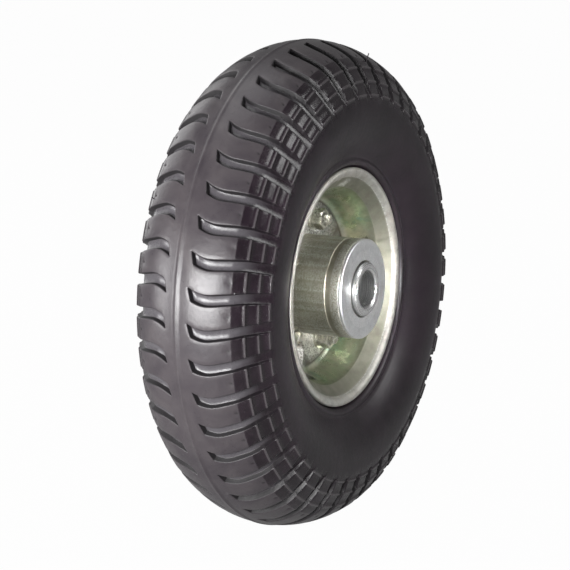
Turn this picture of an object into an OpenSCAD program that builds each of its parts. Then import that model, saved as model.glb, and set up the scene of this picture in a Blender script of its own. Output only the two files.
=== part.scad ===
// Sack truck wheel: a block tread tyre with an inner tube on a split pressed steel rim.
// The rim is bolted round a tubular hub that turns on two flanged ball bearings.
// The wheel turns about the Y axis and its centre is the origin. Its front faces -Y.

/* [Tyre] */
// Outside diameter over the tread
tyre_d = 260; // [256:1:270]
// Width across the sidewalls
tyre_w = 74; // [72:1:78]
// Width of the tread from shoulder edge to shoulder edge
tread_w = 52.4; // [50:0.4:56]
// Drop in radius from the crown to the shoulder edge
shoulder_drop = 9; // [8:0.1:10]
// Thickness of the crown under the tread face
crown_t = 10; // [9:0.5:12]
// Thickness of the sidewall
sidewall_t = 4.5; // [3.5:0.5:6]
// Height of the parting line round the crown
parting_h = 0.4; // [0.2:0.1:0.6]
// Width of the parting line
parting_w = 1.2; // [0.8:0.2:2]
// Height of the ribs round each shoulder
rib_h = 0.6; // [0.4:0.1:1]
// Width of one shoulder rib
rib_w = 1.3; // [1:0.1:1.6]
// Distance between shoulder ribs
rib_pitch = 7; // [6:0.5:7.5]
// Distance in radius from the shoulder edge to the first rib
rib_start = 4.6; // [4.2:0.2:6]

/* [Tread] */
// Number of grooves in each of the two rows
groove_count = 46; // [36:2:50]
// Width of a groove
groove_w = 5.4; // [4:0.2:6.4]
// Depth of a groove at the crown
groove_depth = 2.7; // [2:0.1:4]
// Width of the plain band between the rows
centre_band_w = 12; // [10:1:16]
// Sideways reach of the hook at a groove's inner end
hook_reach = 3.4; // [2:0.2:4.4]
// Length of the hook along the groove
hook_l = 10; // [7:0.5:12]
// Slant of the groove's inner edge
hook_slant = 1.6; // [0.6:0.2:2.4]
// Lean of a groove from its hook to the shoulder
groove_lean = 1.2; // [0.4:0.2:2]
// Angle of the first groove of the front row from the top
first_groove = -21.4; // [-24:0.1:-16]

/* [Rim] */
// Thickness of the pressed sheet
rim_sheet = 2; // [1.6:0.1:2.4]
// Width of the rim over its two lips
rim_w = 54.6; // [53:0.2:56]
// Diameter over the lips
lip_d = 126; // [124:0.5:127]
// Distance in radius from the lip to the bend behind it
flange_rise = 4; // [3.5:0.1:5]
// Setback of that bend from the lip
flange_bend_y = 2.1; // [1.6:0.1:2.6]
// Distance in radius from the lip to the bend at the bead seat
seat_rise = 10; // [9.5:0.1:11]
// Setback of the bead seat bend from the lip
seat_bend_y = 8.3; // [7.5:0.1:9]
// Distance in radius from the bolt circle to the corner between disc and well
disc_margin = 12.3; // [11.6:0.1:13]
// Bend radius of the disc corner
disc_bend = 4; // [3:0.5:5]
// Bend radius at the bead seat and behind the lip
flange_bend = 1.8; // [1.2:0.1:3]

/* [Hub] */
// Wall of the hub tube round a bearing
hub_wall = 3; // [2.5:0.1:3.5]
// Width over the two bearing flanges
hub_w = 72.8; // [70:0.2:76]
// Depth of the turned step at each end of the tube
hub_step = 0.3; // [0.2:0.1:0.6]
// Length of the turned step
hub_step_l = 5; // [3:0.5:8]
// Leg of the weld round the hub
weld_leg = 2.4; // [1.5:0.1:2.6]

/* [Bearings] */
// Diameter of the axle bore
axle_d = 20; // [19:0.5:20.5]
// Reach of each inner ring past the bearing flange
ring_reach = 2.6; // [1.5:0.1:4]
// Width of a bearing
bearing_w = 12; // [11.6:0.2:14]
// Outside diameter of the bearing in the tube
bearing_d = 47; // [46:0.5:47.5]
// Thickness of the bearing's flange
bearing_flange_t = 1.5; // [1:0.1:2.2]
// Ball diameter as a share of the room between axle and hub tube
ball_share = 0.588; // [0.56:0.002:0.6]
// Balls in a bearing
ball_count = 8; // [6:1:9]
// Thickness of a bearing shield
shield_t = 0.8; // [0.5:0.1:0.9]
// Gap between a shield and the inner ring
shield_gap = 0.95; // [0.5:0.05:1.2]
// Wall of the spacer tube between the inner rings, with its gap to the axle
spacer_wall = 3; // [2:0.1:3.5]

/* [Rim bolts] */
// Nominal bolt diameter
bolt_d = 6; // [5:0.5:6.5]
// Distance from the hub tube to the bolt circle
bolt_margin = 8.5; // [8.5:0.1:10]
// Angle of the first bolt from the top
first_bolt = 12; // [10:0.5:14]
// Reach of the bolt past its nut
bolt_reach = 3.4; // [1:0.2:5]
// Width across the flats of nut and bolt head
hex_af = 10; // [9.5:0.5:11]
// Height of the nut
nut_h = 5; // [4:0.5:6]
// Height of the bolt head
head_h = 4; // [3:0.5:5]
// Outside diameter of the flat washer
washer_d = 12; // [11.5:0.5:13]
// Thickness of the flat washer
washer_t = 1.2; // [0.8:0.1:1.6]
// Outside diameter of the spring washer
spring_washer_d = 10; // [9.5:0.2:10.5]
// Thickness of the spring washer
spring_washer_t = 1.6; // [1:0.1:2]

/* [Inner tube and valve] */
// Thickness of the inner tube's wall
tube_t = 1.6; // [1.2:0.1:2]
// Angle of the valve from the top
valve_angle = 192; // [190:1:194]
// Width of the valve slot in each rim half
slot_w = 9.4; // [9:0.1:10.4]
// Distance of the slot's inner end from the wheel's centre
slot_start = 31.5; // [30.5:0.5:33]
// Distance of the slot's side from the disc joint
slot_depth = 12; // [11.5:0.5:13]
// Diameter of the valve stem
stem_d = 7.7; // [7:0.1:8.2]
// Bore of the valve stem
stem_bore = 4.4; // [3.6:0.1:5]
// Straight length of the stem between its bend and its foot
stem_leg = 5.6; // [5:0.1:6.4]
// Radius of the bend of the stem
stem_bend = 6; // [5.5:0.5:6.5]
// Reach of the stem from the disc joint
stem_reach = 30; // [27:1:32]
// Outside diameter of the valve cap
cap_d = 10.4; // [9.8:0.2:11]
// Length of the valve cap
cap_l = 11; // [9:1:13]

/* [Clearances] */
// Gap between the tyre bead and the rim
bead_gap = 0.15; // [0.1:0.05:0.3]
// Gap between the inner tube and the tyre
tube_gap = 0.3; // [0.2:0.05:0.5]
// Gap between a bearing and its seat
seat_gap = 0.02; // [0.01:0.01:0.05]
// Play between the balls and their tracks
track_play = 0.08; // [0.05:0.01:0.12]
// Gap between the cage and the balls
cage_gap = 0.15; // [0.1:0.05:0.25]
// Gap between the rim halves and the hub
hub_gap = 0.1; // [0.05:0.05:0.2]
// Clearance of the bolt holes on the diameter
bolt_play = 0.6; // [0.4:0.1:1]
// Gap between the spacer's bore and the axle
spacer_gap = 0.25; // [0.2:0.05:0.4]
// Gap between the valve core and the stem's bore, on the diameter
core_gap = 0.1; // [0.05:0.05:0.2]
// Gap between the valve cap and the stem, on the diameter
cap_gap = 0.2; // [0.1:0.05:0.3]

/* [Hidden] */
$fn = 96;
bolt_count = 5;
arc_steps = 6;
hook_steps = 4;
edge_round = 0.8;

tyre_r = tyre_d / 2;
lip_r = lip_d / 2;
crown_r = tyre_r - parting_h;
shoulder_r = crown_r - shoulder_drop;
shoulder_y = tread_w / 2;
crown_curve = (pow(shoulder_y, 2) + pow(shoulder_drop, 2)) / (2 * shoulder_drop);
lip_y = rim_w / 2;
flange_bend_r = lip_r - flange_rise;
seat_bend_r = lip_r - seat_rise;
widest_r = (lip_r + tyre_r) / 2 - 2.5;
under_shoulder = 2.6;
section_h = tyre_r - lip_r;
shoulder_foot_r = shoulder_r - 0.14 * section_h;
bead_ring_r = lip_r + 3.6;
bead_top_r = bead_ring_r + 2.4;
wall_bulge = tyre_w / 2 - lip_y - 0.3;
sidewall_curve = (pow(widest_r - bead_top_r, 2) + pow(wall_bulge, 2)) / (2 * wall_bulge);
wall_centre_y = tyre_w / 2 - sidewall_curve;
first_rib_r = shoulder_r - rib_start;
run_out_r = shoulder_foot_r - 0.17 * section_h;
bead_depth = 15.8;
bead_toe_y = lip_y - bead_depth;
bead_toe_t = 2.4;
bead_w = 9.5;
inner_crown_r = crown_r - crown_t;

bearing_r = bearing_d / 2;
hub_r = bearing_r + hub_wall;
face_y = hub_w / 2;
tube_end_y = face_y - bearing_flange_t;
bearing_back_y = face_y - bearing_w;
axle_r = axle_d / 2;
ball_d = ball_share * (bearing_r - axle_r);
ball_r = ball_d / 2;
ball_circle_r = (bearing_r + axle_r) / 2 + 0.25;
ball_y = face_y - bearing_w / 2;
track_r = ball_r + track_play;
land_gap = 0.346 * ball_d;
inner_land_r = ball_circle_r - land_gap;
outer_land_r = ball_circle_r + land_gap;
shield_seat = 0.8;
shield_r = outer_land_r + shield_seat;
ring_y = face_y + ring_reach;
cage_t = 0.378 * ball_d;
cage_w = ball_d + 1.6;

bolt_circle_r = hub_r + bolt_margin;
disc_corner_r = bolt_circle_r + disc_margin;
stack_washer_y = rim_sheet;
stack_spring_y = stack_washer_y + washer_t;
stack_nut_y = stack_spring_y + spring_washer_t;
bolt_end_y = stack_nut_y + nut_h + bolt_reach;

stem_lift = 0.25;
stem_y = rim_sheet + stem_lift + stem_d / 2;
pad_t = 1.8;
pad_r = 5;
pad_gap = 0.8;
core_l = 6;
pin_d = 1.6;
pin_l = 16.8;
core_depth = 17;
cap_grip = 8;
cap_top = 2.4;

// Outline of a rim half on its open side, from the hub to the lip
rim_path = [
    [hub_r + hub_gap, rim_sheet],
    [disc_corner_r, rim_sheet],
    [seat_bend_r, lip_y - seat_bend_y],
    [flange_bend_r, lip_y - flange_bend_y],
    [lip_r, lip_y]
];
rim_bends = [0, disc_bend, flange_bend, flange_bend, edge_round];

// Where the tyre's bead lies on the rim, and what stands off from it
bead_seat = moved_right(rim_path, rim_sheet + bead_gap);
bead_toe_r = between(bead_seat[2], bead_seat[1], bead_toe_y);
tube_foot = 2.45;
tube_inner_r = bead_toe_r + tube_foot;
pad_foot_r = tube_inner_r - pad_t - pad_gap;
stem_r = pad_foot_r - stem_leg - stem_bend;

// Outlines are lists of [radius, distance along the axle]

function unit(v) = v / norm(v);
function right_of(v) = [v[1], -v[0]];
function reversed(list) = [for (i = [len(list) - 1:-1:0]) list[i]];
function mirrored(points) = [for (p = reversed(points)) [p[0], -p[1]]];
function both_sides(half) = concat(mirrored(half), half);
function between(a, b, y) = a[0] + (b[0] - a[0]) * (y - a[1]) / (b[1] - a[1]);

// Rounds one corner b between a and c with an arc
function corner(a, b, c, r) =
    let (
        u = unit(a - b),
        v = unit(c - b),
        half = acos(u * v) / 2,
        centre = b + unit(u + v) * r / sin(half),
        start = b + u * r / tan(half) - centre,
        end = b + v * r / tan(half) - centre,
        from = atan2(start[1], start[0]),
        turn = (atan2(end[1], end[0]) - from + 900) % 360 - 180
    )
    [for (i = [0:arc_steps]) let (a = from + turn * i / arc_steps) centre + r * [cos(a), sin(a)]];

// Rounds the corners of a closed outline, each with its own radius
function rounded(points, radii) =
    let (n = len(points))
    [for (i = [0:n - 1]) each
        radii[i] == 0 ? [points[i]] : corner(points[(i + n - 1) % n], points[i], points[(i + 1) % n], radii[i])];

// Moves a path sideways to its right by t
function moved_right(path, t) =
    let (n = len(path))
    [for (i = [0:n - 1])
        let (
            before = i == 0 ? unit(path[1] - path[0]) : unit(path[i] - path[i - 1]),
            after = i == n - 1 ? before : unit(path[i + 1] - path[i]),
            middle = unit(right_of(before) + right_of(after))
        )
        path[i] + middle * t / (middle * right_of(before))];

// Bend radii on the right-hand side of a path that is t thick
function bends_right(path, bends, t) =
    [for (i = [0:len(path) - 1])
        i == 0 || i == len(path) - 1 ? bends[i] :
            bends[i] + t * sign(cross(path[i] - path[i - 1], path[i + 1] - path[i]))];

// Closed outline of a sheet that lies on the right of a path
function sheet_outline(path, bends, t) =
    rounded(
        concat(path, reversed(moved_right(path, t))),
        concat(bends, reversed(bends_right(path, bends, t)))
    );

module on_axle() {
    rotate([-90, 0, 0]) children();
}

module turned(outline) {
    on_axle() rotate_extrude() polygon(outline);
}

module ring(inner, outer, y0, y1) {
    turned([[inner, y0], [outer, y0], [outer, y1], [inner, y1]]);
}

// Places children at an angle from the top of the wheel
module at_angle(angle) {
    rotate([0, angle, 0]) children();
}

// Flips children to the front face
module to_front() {
    mirror([0, 1, 0]) children();
}

// Tyre

function crown_point(y) = [crown_r - crown_curve + sqrt(pow(crown_curve, 2) - y * y), y];
function wall_point(r) = [r, wall_centre_y + sqrt(pow(sidewall_curve, 2) - pow(r - widest_r, 2))];

// Side of the tyre, straight from the shoulder to its foot and then round
function side_point(r) =
    let (
        top = [shoulder_r - under_shoulder, shoulder_y + under_shoulder],
        foot = wall_point(shoulder_foot_r)
    )
    r > shoulder_foot_r ? foot + (top - foot) * (r - foot[0]) / (top[0] - foot[0]) : wall_point(r);

function rib(r) =
    let (
        half = rib_w / 2,
        slope = 0.3,
        out = unit([0.35, 0.94]) * rib_h
    )
    [side_point(r + half), side_point(r + half - slope) + out, side_point(r - half + slope) + out,
        side_point(r - half)];

function tyre_outside() =
    let (wall_start = first_rib_r - 2 * rib_pitch - 2)
    concat(
        [[tyre_r, parting_w / 2 - parting_h / 2]],
        [for (i = [0:arc_steps]) crown_point(parting_w / 2 + (shoulder_y - parting_w / 2) * i / arc_steps)],
        [side_point(shoulder_r - under_shoulder)],
        rib(first_rib_r),
        [wall_point(shoulder_foot_r)],
        rib(first_rib_r - rib_pitch),
        rib(first_rib_r - 2 * rib_pitch),
        [for (i = [0:2 * arc_steps]) wall_point(wall_start + (bead_top_r - wall_start) * i / (2 * arc_steps))]
    );

function bead_outside() =
    let (ring_side = wall_point(bead_top_r)[1])
    [
        [bead_ring_r + 1.2, ring_side + 0.5],
        [bead_ring_r - 0.8, ring_side + 0.3],
        [bead_ring_r - 2, lip_y - 0.6],
        bead_seat[4] + [0.3, -0.3],
        bead_seat[3],
        bead_seat[2],
        [bead_toe_r, bead_toe_y]
    ];

function tyre_inside() =
    rounded(
        [
            [bead_toe_r, bead_toe_y],
            [bead_toe_r + bead_toe_t, bead_toe_y],
            [bead_ring_r + 0.5, lip_y - bead_w],
            [widest_r - 0.18 * section_h, tyre_w / 2 - sidewall_t],
            [widest_r + 0.09 * section_h, tyre_w / 2 - sidewall_t],
            [inner_crown_r - 0.075 * section_h, 0.55 * shoulder_y],
            [inner_crown_r, crown_t / 2]
        ],
        [0, 1, 0.12 * section_h, 0.2 * section_h, 0.18 * section_h, 0.15 * section_h, 0]
    );

// Sideways shift of a groove's middle at a distance v from the wheel's centre plane
function groove_shift(v) =
    let (hook_end = centre_band_w / 2 + hook_l)
    v < hook_end
        ? hook_reach * pow((hook_end - v) / hook_l, 2)
        : groove_lean * (v - hook_end) / (shoulder_y - hook_end);

// Plan of one groove, with the hook at its inner end
function groove_outline() =
    let (
        half = groove_w / 2,
        start = centre_band_w / 2,
        hook = [for (i = [0:hook_steps]) start + hook_l * i / hook_steps],
        along = concat(hook, [tyre_w / 2 + 2]),
        heel = start + hook_slant
    )
    concat(
        [for (v = along) [groove_shift(v) + half, v]],
        [for (v = reversed(along)) if (v > heel + 0.5) [groove_shift(v) - half, v]],
        [[groove_shift(heel) - half, heel]]
    );

// The layer that the grooves are cut into, down to the groove floors
function groove_floor() =
    let (foot = wall_point(shoulder_foot_r))
    [
        [crown_r - groove_depth, 0],
        crown_point(shoulder_y / 2) - [groove_depth, 0],
        crown_point(shoulder_y - 2) - [groove_depth + 0.5, 0],
        [shoulder_r - under_shoulder - groove_depth, shoulder_y + 1.2],
        foot - [1.5, 0.7 * groove_depth],
        wall_point(run_out_r) + [0, 0.05],
        [run_out_r - 2, tyre_w / 2 + 3],
        [tyre_r + 4, tyre_w / 2 + 3]
    ];

module groove_row(angle) {
    for (i = [0:groove_count - 1])
        at_angle(angle + i * 360 / groove_count)
            translate([0, 0, run_out_r - 2.5])
                linear_extrude(tyre_r - run_out_r + 4.5)
                    polygon([for (p = groove_outline()) [p[0], -p[1]]]);
}

module grooves() {
    intersection() {
        union() {
            groove_row(first_groove);
            rotate([0, 0, 180]) groove_row(-first_groove - 180 / groove_count);
        }
        turned(both_sides(groove_floor()));
    }
}

function tyre_outline() =
    let (outside = concat(tyre_outside(), bead_outside()), inside = tyre_inside())
    concat(both_sides(outside), inside, mirrored(inside));

module tyre() {
    color("dimgray")
        difference() {
            turned(tyre_outline());
            grooves();
        }
}

// Inner tube and valve

// Outside of the inflated tube, clear of the tyre by tube_gap
function tube_outside() =
    let (inside = tyre_inside(), n = len(inside))
    concat(
        [[tube_inner_r, bead_toe_y - 3.4], [tube_inner_r + 1.6, bead_toe_y - tube_gap]],
        moved_right([for (i = [arc_steps + 2:n - 1]) inside[i]], tube_gap)
    );

function tube_outline(shrink) =
    let (
        half = tube_outside(),
        closed = concat(half, mirrored(half)),
        n = len(closed)
    )
    [for (i = [0:n - 1])
        let (
            before = unit(closed[i] - closed[(i + n - 1) % n]),
            after = unit(closed[(i + 1) % n] - closed[i]),
            middle = unit(right_of(before) + right_of(after))
        )
        closed[i] + middle * shrink / (middle * right_of(before))];

module inner_tube() {
    color("darkslategray")
        on_axle()
            rotate_extrude()
                difference() {
                    polygon(tube_outline(0));
                    polygon(tube_outline(tube_t));
                }
}

// The stem runs in from the tube, through the slot, and bends to the rear
module stem_path(r) {
    at_angle(valve_angle) {
        translate([0, stem_y, stem_r + stem_bend])
            cylinder(r = r, h = stem_leg);
        translate([0, stem_y + stem_bend, stem_r + stem_bend])
            rotate([0, 90, 0])
                rotate([0, 0, -90])
                    rotate_extrude(angle = 90)
                        translate([stem_bend, 0])
                            circle(r);
        translate([0, stem_y + stem_bend, stem_r])
            rotate([-90, 0, 0])
                cylinder(r = r, h = stem_reach - stem_y - stem_bend);
    }
}

module valve_base() {
    color("black")
        at_angle(valve_angle)
            translate([0, stem_y, pad_foot_r])
                cylinder(r = pad_r, h = pad_t);
}

module valve_stem() {
    color("goldenrod")
        difference() {
            stem_path(stem_d / 2);
            stem_path(stem_bore / 2);
        }
}

module valve_core() {
    color("silver")
        at_angle(valve_angle)
            translate([0, stem_reach - core_depth, stem_r])
                rotate([-90, 0, 0])
                    union() {
                        cylinder(d = stem_bore - core_gap, h = core_l);
                        cylinder(d = pin_d, h = pin_l);
                    }
}

module valve_cap() {
    color("black")
        at_angle(valve_angle)
            translate([0, stem_reach - cap_grip, stem_r])
                rotate([-90, 0, 0])
                    difference() {
                        union() {
                            cylinder(d = cap_d, h = cap_l - 1.5);
                            cylinder(d1 = cap_d, d2 = cap_d - 3, h = cap_l);
                        }
                        translate([0, 0, -1])
                            cylinder(d = stem_d + cap_gap, h = cap_l - cap_top + 1);
                    }
}

// Rim

module bolt_places() {
    for (i = [0:bolt_count - 1])
        at_angle(first_bolt + i * 360 / bolt_count)
            translate([0, 0, bolt_circle_r])
                children();
}

module valve_slot() {
    at_angle(valve_angle) {
        translate([0, slot_depth, slot_start + slot_w / 2])
            rotate([90, 0, 0])
                cylinder(d = slot_w, h = slot_depth + 1);
        translate([-slot_w / 2, -1, slot_start + slot_w / 2])
            cube([slot_w, slot_depth + 1, tube_inner_r - slot_start]);
    }
}

module rim_half() {
    color("darkkhaki")
        difference() {
            turned(sheet_outline(rim_path, rim_bends, rim_sheet));
            bolt_places()
                rotate([90, 0, 0])
                    cylinder(d = bolt_d + bolt_play, h = 4 * rim_sheet, center = true);
            valve_slot();
        }
}

module rim_rear() {
    rim_half();
}

module rim_front() {
    to_front() rim_half();
}

// Hub

function hub_half() =
    [
        [bearing_r + seat_gap, tube_end_y - bearing_w + bearing_flange_t - 1],
        [bearing_r + seat_gap, tube_end_y],
        [hub_r - 0.5, tube_end_y],
        [hub_r, tube_end_y - 0.5],
        [hub_r, tube_end_y - hub_step_l],
        [hub_r - hub_step, tube_end_y - hub_step_l - hub_step],
        [hub_r - hub_step, tube_end_y - hub_step_l - 3],
        [hub_r, tube_end_y - hub_step_l - 3 - hub_step]
    ];

module hub_tube() {
    color("darkkhaki")
        turned(concat(hub_half(), mirrored(hub_half())));
}

module hub_weld() {
    color("gray")
        turned(rounded(
            [[hub_r, rim_sheet], [hub_r + weld_leg, rim_sheet], [hub_r + weld_leg * 0.6, rim_sheet + weld_leg * 0.6],
                [hub_r, rim_sheet + weld_leg]],
            [0, 0, 1.5, 0]
        ));
}

// Bearings, each drawn at the rear and mirrored to the front

function track(side) =
    let (half = acos(land_gap / track_r))
    [for (i = [0:2 * arc_steps])
        let (a = half * (i / arc_steps - 1)) [ball_circle_r + side * track_r * cos(a), ball_y + track_r * sin(a)]];

module outer_ring() {
    color("lightgray")
        turned(concat(
            [
                [shield_r, bearing_back_y],
                [shield_r, bearing_back_y + shield_t],
                [outer_land_r, bearing_back_y + shield_t]
            ],
            track(1),
            [
                [outer_land_r, face_y - shield_t],
                [shield_r, face_y - shield_t],
                [shield_r, face_y],
                [hub_r - 0.4, face_y],
                [hub_r, face_y - 0.4],
                [hub_r, tube_end_y],
                [bearing_r, tube_end_y],
                [bearing_r, bearing_back_y + 0.6],
                [bearing_r - 0.6, bearing_back_y]
            ]
        ));
}

module inner_ring() {
    color("gainsboro")
        turned(concat(
            [
                [axle_r, bearing_back_y],
                [inner_land_r, bearing_back_y]
            ],
            track(-1),
            [
                [inner_land_r, ring_y - 1],
                [inner_land_r - 1, ring_y],
                [axle_r + 1, ring_y],
                [axle_r, ring_y - 1]
            ]
        ));
}

module ball_places() {
    for (i = [0:ball_count - 1])
        at_angle(i * 360 / ball_count)
            translate([0, ball_y, ball_circle_r])
                children();
}

module balls() {
    color("silver") ball_places() sphere(ball_r);
}

module cage() {
    color("burlywood")
        difference() {
            ring(ball_circle_r - cage_t / 2, ball_circle_r + cage_t / 2, ball_y - cage_w / 2, ball_y + cage_w / 2);
            ball_places() sphere(ball_r + cage_gap);
        }
}

module shield(y) {
    color("lightgray")
        ring(inner_land_r + shield_gap, shield_r, y, y + shield_t);
}

module bearing_spacer() {
    color("gray")
        ring(axle_r + spacer_gap, axle_r + spacer_wall, -bearing_back_y, bearing_back_y);
}

// Rim bolts, heads at the rear and nuts at the front

module at_bolt(number) {
    at_angle(first_bolt + (number - 1) * 360 / bolt_count)
        translate([0, 0, bolt_circle_r])
            children();
}

// Stands a shape on the front disc, at a distance from the joint of the discs
module on_front(y) {
    translate([0, -y, 0]) rotate([90, 0, 0]) children();
}

module hexagon(h) {
    rotate([0, 0, 30])
        cylinder(d = hex_af / cos(30), h = h, $fn = 6);
}

module hexagon_chamfered(h) {
    intersection() {
        hexagon(h);
        cylinder(r1 = hex_af / 2 + h, r2 = hex_af / 2 - 0.1, h = h + 0.1);
    }
}

module bolt(number) {
    color("khaki")
        at_bolt(number)
            union() {
                translate([0, rim_sheet, 0])
                    rotate([-90, 0, 0])
                        hexagon_chamfered(head_h);
                translate([0, rim_sheet + 0.1, 0])
                    rotate([90, 0, 0])
                        cylinder(d = bolt_d, h = bolt_end_y + rim_sheet - 0.5);
                on_front(bolt_end_y - 0.6)
                    cylinder(d1 = bolt_d, d2 = bolt_d - 1.2, h = 0.6);
            }
}

module flat_washer(number) {
    color("khaki")
        at_bolt(number)
            on_front(stack_washer_y)
                difference() {
                    cylinder(d = washer_d, h = washer_t);
                    translate([0, 0, -1])
                        cylinder(d = bolt_d + 0.4, h = washer_t + 2);
                }
}

module spring_washer(number) {
    color("khaki")
        at_bolt(number)
            on_front(stack_spring_y)
                difference() {
                    cylinder(d = spring_washer_d, h = spring_washer_t);
                    translate([0, 0, -1])
                        cylinder(d = bolt_d + 0.2, h = spring_washer_t + 2);
                    translate([bolt_d / 2 - 1, 0, spring_washer_t / 2])
                        rotate([30, 0, 0])
                            cube([bolt_d, 0.5, 2 * spring_washer_t + 2], center = true);
                }
}

module nut(number) {
    color("khaki")
        at_bolt(number)
            on_front(stack_nut_y)
                difference() {
                    hexagon_chamfered(nut_h);
                    translate([0, 0, -1])
                        cylinder(d = bolt_d + 0.1, h = nut_h + 2);
                }
}

tyre();
inner_tube();
valve_base();
valve_stem();
valve_core();
valve_cap();
rim_front();
rim_rear();
hub_tube();
hub_weld();
outer_ring();  // outer_ring_rear
inner_ring();  // inner_ring_rear
cage();  // cage_rear
balls();  // balls_rear
shield(face_y - shield_t);  // outer_shield_rear
shield(bearing_back_y);  // inner_shield_rear
to_front() outer_ring();  // outer_ring_front
to_front() inner_ring();  // inner_ring_front
to_front() cage();  // cage_front
to_front() balls();  // balls_front
to_front() shield(face_y - shield_t);  // outer_shield_front
to_front() shield(bearing_back_y);  // inner_shield_front
bearing_spacer();
for (i = [1:bolt_count]) {
    bolt(i);
    flat_washer(i);
    spring_washer(i);
    nut(i);
}
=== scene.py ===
import math
import random

import bmesh
import bpy
from mathutils import Matrix, Vector


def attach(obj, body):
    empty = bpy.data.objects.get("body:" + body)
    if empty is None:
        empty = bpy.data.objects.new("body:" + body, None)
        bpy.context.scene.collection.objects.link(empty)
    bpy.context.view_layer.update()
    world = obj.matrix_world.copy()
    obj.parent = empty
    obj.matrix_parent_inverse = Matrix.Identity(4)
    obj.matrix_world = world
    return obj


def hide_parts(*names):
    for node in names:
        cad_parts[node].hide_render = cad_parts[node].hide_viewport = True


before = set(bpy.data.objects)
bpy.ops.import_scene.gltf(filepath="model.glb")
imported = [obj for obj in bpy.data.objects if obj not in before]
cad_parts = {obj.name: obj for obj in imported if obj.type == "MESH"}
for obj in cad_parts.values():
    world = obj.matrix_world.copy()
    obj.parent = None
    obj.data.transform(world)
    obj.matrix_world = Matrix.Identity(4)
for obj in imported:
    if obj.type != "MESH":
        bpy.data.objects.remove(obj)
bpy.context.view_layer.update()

mm = 0.001
twoPi = 2 * math.pi


# Node helpers

def addNode(tree, kind, **settings):
    node = tree.nodes.new(kind)
    for name, value in settings.items():
        setattr(node, name, value)
    return node


def feed(tree, socket, value):
    if isinstance(value, bpy.types.NodeSocket):
        tree.links.new(value, socket)
    elif value is not None:
        socket.default_value = value


def calc(tree, operation, first, second=None, third=None):
    node = addNode(tree, "ShaderNodeMath", operation=operation)
    for place, value in enumerate((first, second, third)):
        feed(tree, node.inputs[place], value)
    return node.outputs[0]


def remap(tree, value, low, high, toLow=0.0, toHigh=1.0):
    node = addNode(tree, "ShaderNodeMapRange")
    for place, entry in enumerate((value, low, high, toLow, toHigh)):
        feed(tree, node.inputs[place], entry)
    return node.outputs[0]


def noise(tree, vector, scale, detail=4.0, roughness=0.55, distortion=0.0):
    node = addNode(tree, "ShaderNodeTexNoise")
    feed(tree, node.inputs["Vector"], vector)
    feed(tree, node.inputs["Scale"], scale)
    feed(tree, node.inputs["Detail"], detail)
    feed(tree, node.inputs["Roughness"], roughness)
    feed(tree, node.inputs["Distortion"], distortion)
    return node.outputs["Fac"]


def ramp(tree, value, stops):
    node = addNode(tree, "ShaderNodeValToRGB")
    feed(tree, node.inputs[0], value)
    marks = node.color_ramp.elements
    while len(marks) < len(stops):
        marks.new(0.5)
    for mark, (place, colour) in zip(marks, stops):
        mark.position = place
        mark.color = (*colour, 1)
    return node.outputs[0]


def blend(tree, share, first, second):
    node = addNode(tree, "ShaderNodeMix", data_type="RGBA")
    feed(tree, node.inputs[0], share)
    feed(tree, node.inputs[6], first)
    feed(tree, node.inputs[7], second)
    return node.outputs[2]


def paint(red, green, blue):
    return (red, green, blue, 1)


def newGroup(name, inputs, outputs):
    tree = bpy.data.node_groups.new(name, "ShaderNodeTree")
    for label, value in inputs:
        kind = "NodeSocketVector" if value is None else "NodeSocketFloat"
        socket = tree.interface.new_socket(name=label, in_out="INPUT", socket_type=kind)
        if value is not None:
            socket.default_value = value
    for label in outputs:
        tree.interface.new_socket(name=label, in_out="OUTPUT", socket_type="NodeSocketFloat")
    return tree, tree.nodes.new("NodeGroupInput").outputs, tree.nodes.new("NodeGroupOutput").inputs


# Effects that several finishes share

def buildMottle():  # soft clouds, for colour that drifts over the surface
    tree, given, out = newGroup("mottle", [("Vector", None), ("Scale", 60.0), ("Low", 0.4), ("High", 0.65)], ["Mask"])
    clouds = noise(tree, given["Vector"], given["Scale"], 5.0, 0.6, 0.6)
    tree.links.new(remap(tree, clouds, given["Low"], given["High"]), out["Mask"])
    return tree


def buildEdgeWear():  # worn ridges, broken up by noise
    tree, given, out = newGroup("edgeWear", [("Vector", None), ("Scale", 400.0), ("Amount", 0.5)], ["Mask"])
    ridge = addNode(tree, "ShaderNodeNewGeometry").outputs["Pointiness"]
    broken = noise(tree, given["Vector"], given["Scale"], 5.0, 0.65)
    worn = calc(tree, "MULTIPLY", remap(tree, ridge, 0.515, 0.58), remap(tree, broken, 0.35, 0.62))
    tree.links.new(calc(tree, "MULTIPLY", worn, given["Amount"]), out["Mask"])
    return tree


def buildDust():  # dust that stays in corners and patches
    tree, given, out = newGroup("dust", [("Vector", None), ("Scale", 90.0), ("Amount", 0.5)], ["Mask"])
    hollow = addNode(tree, "ShaderNodeNewGeometry").outputs["Pointiness"]
    patches = remap(tree, noise(tree, given["Vector"], given["Scale"], 7.0, 0.62), 0.42, 0.7)
    settled = calc(tree, "MAXIMUM", calc(tree, "MULTIPLY", patches, 0.6), remap(tree, hollow, 0.49, 0.42))
    tree.links.new(calc(tree, "MULTIPLY", settled, given["Amount"], None), out["Mask"])
    return tree


def buildGrain():  # fine pits and a wider roll of the surface
    tree, given, out = newGroup("grain", [("Vector", None), ("Fine", 2600.0), ("Broad", 180.0)], ["Height", "Tone"])
    fine = noise(tree, given["Vector"], given["Fine"], 3.0, 0.6)
    broad = noise(tree, given["Vector"], given["Broad"], 4.0, 0.55)
    tree.links.new(calc(tree, "MULTIPLY_ADD", broad, 0.8, calc(tree, "MULTIPLY", fine, 0.35)), out["Height"])
    tree.links.new(calc(tree, "MULTIPLY_ADD", fine, 0.5, calc(tree, "MULTIPLY", broad, 0.5)), out["Tone"])
    return tree


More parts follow.
